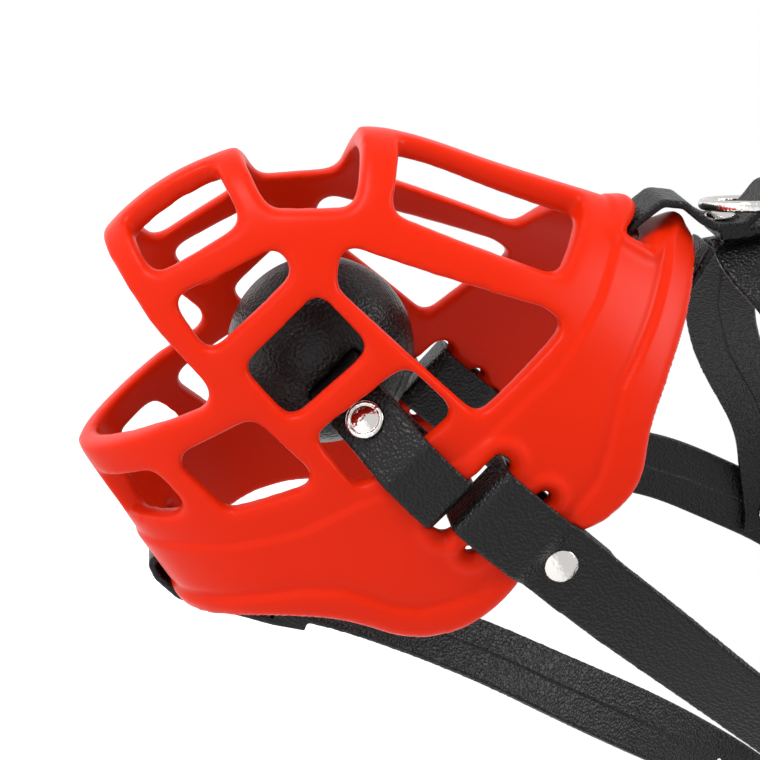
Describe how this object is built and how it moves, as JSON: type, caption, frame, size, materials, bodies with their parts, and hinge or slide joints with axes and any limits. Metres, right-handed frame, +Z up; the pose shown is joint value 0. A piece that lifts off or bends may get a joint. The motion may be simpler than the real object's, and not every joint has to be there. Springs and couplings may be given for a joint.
{
  "type": "basket muzzle",
  "caption": "Moulded rubber basket muzzle with a leather-covered mouth ball on a strap and a riveted leather head harness with a roller buckle.",
  "frame": {"origin": "centre of the mouth ball, on the basket's plane of symmetry", "axes": "+X out of the wearer's face, +Y to the wearer's left, +Z up"},
  "size_m": [0.2417, 0.1121, 0.1676],
  "materials": {
    "basket_rubber": "satin moulded silicone rubber",
    "ball_rubber": "matte",
    "black_leather": "semi-gloss fine grain",
    "plated_metal": "bright plated",
    "rivet_steel": "plain"
  },
  "bodies": {
    "harness": {"basket": "basket_rubber", "ball_strap": "black_leather", "left_cheek_strap": "black_leather", "right_cheek_strap": "black_leather", "dorsal_strap": "black_leather", "forehead_strap": "black_leather", "chin_strap": "black_leather", "fixed_keeper": "black_leather", "ball_rivet_caps": "plated_metal", "ball_rivet_posts": "rivet_steel", "strap_rivet_caps": "plated_metal", "strap_rivet_posts": "rivet_steel"},
    "mouth_ball": {"ball_core": "ball_rubber", "ball_cover": "black_leather"},
    "top_ring": {"nose_ring": "plated_metal"},
    "buckle": {"buckle_frame": "plated_metal"},
    "roller": {"buckle_roller": "plated_metal"},
    "prong": {"buckle_prong": "plated_metal"},
    "keeper": {"sliding_keeper": "black_leather"}
  },
  "joints": [
    {"name": "ball_play", "type": "slide", "parent": "harness", "child": "mouth_ball", "axis": [0, 1, 0], "range_m": [-0.0025, 0.0025]},
    {"name": "ring_swing", "type": "hinge", "parent": "harness", "child": "top_ring", "pos_m": [-0.02627, 0, 0.10329], "axis": [0.1488, 0.9848, 0.0894], "range_deg": [-90, 0]},
    {"name": "buckle_swing", "type": "hinge", "parent": "harness", "child": "buckle", "pos_m": [-0.164, -0.0486, 0.079], "axis": [0, 0, 1], "range_deg": [-12, 12]},
    {"name": "roller_spin", "type": "hinge", "parent": "buckle", "child": "roller", "pos_m": [-0.17944, -0.04441, 0.079], "axis": [0, 0, 1], "continuous": true},
    {"name": "prong_swing", "type": "hinge", "parent": "buckle", "child": "prong", "pos_m": [-0.164, -0.0486, 0.079], "axis": [0, 0, 1], "range_deg": [0, 80]},
    {"name": "keeper_slide", "type": "slide", "parent": "harness", "child": "keeper", "axis": [-0.9651, 0.262, 0], "range_m": [-0.001, 0.0018]}
  ]
}
